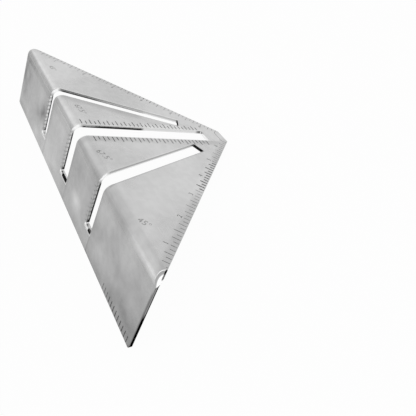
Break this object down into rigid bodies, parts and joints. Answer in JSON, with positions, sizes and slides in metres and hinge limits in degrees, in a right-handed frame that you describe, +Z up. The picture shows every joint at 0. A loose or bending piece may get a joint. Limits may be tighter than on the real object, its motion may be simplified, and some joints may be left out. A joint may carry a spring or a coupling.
{
  "type": "mitre square",
  "caption": "Folded sheet steel mitre square: a right-angled triangular face, a flange along its long side, and marking slots that run on over the fold.",
  "frame": {"origin": "on the surface it stands on, at the middle of its overall length and depth", "axes": "+X along the fold towards the end with the small ground flat, +Y from the flange towards the right-angled corner, +Z up"},
  "size_m": [0.249, 0.13, 0.0459],
  "materials": {
    "stainless": "satin, finely brushed, with engraved divisions"
  },
  "bodies": {
    "root": {"folded_plate": "stainless"}
  },
  "joints": []
}
